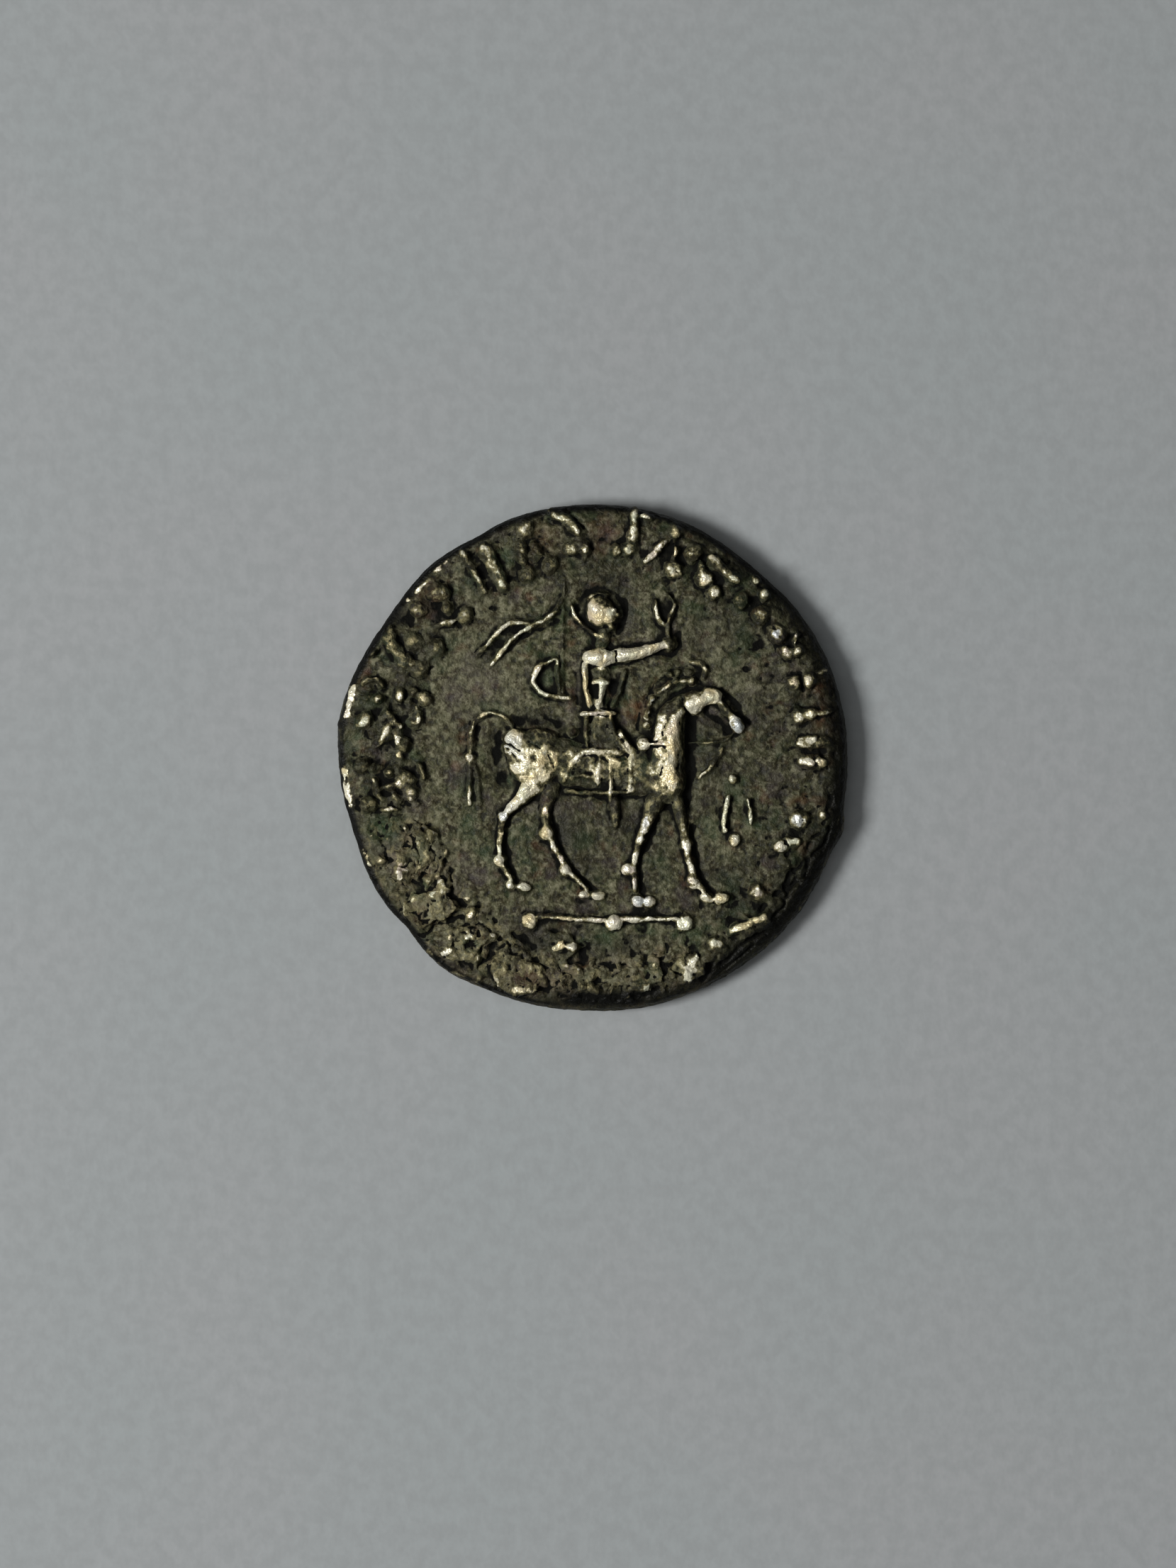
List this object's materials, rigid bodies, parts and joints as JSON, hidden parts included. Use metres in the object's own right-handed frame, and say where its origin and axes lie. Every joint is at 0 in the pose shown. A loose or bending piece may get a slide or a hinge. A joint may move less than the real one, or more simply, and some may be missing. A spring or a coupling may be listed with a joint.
{
  "type": "silver drachm",
  "caption": "Worn hammered silver coin, a rider on a walking horse in relief inside a border of worn strokes and beads, lying flat.",
  "frame": {"origin": "middle of the coin's outline, on the surface it lies on", "axes": "+Z out of the horseman side, +Y towards the rider's head, +X the way the horse walks"},
  "size_m": [0.0156, 0.0156, 0.0017],
  "materials": {
    "toned_silver": "worn silver with a dark olive patina in the field and bright high points"
  },
  "bodies": {
    "root": {"drachm": "toned_silver"}
  },
  "joints": []
}
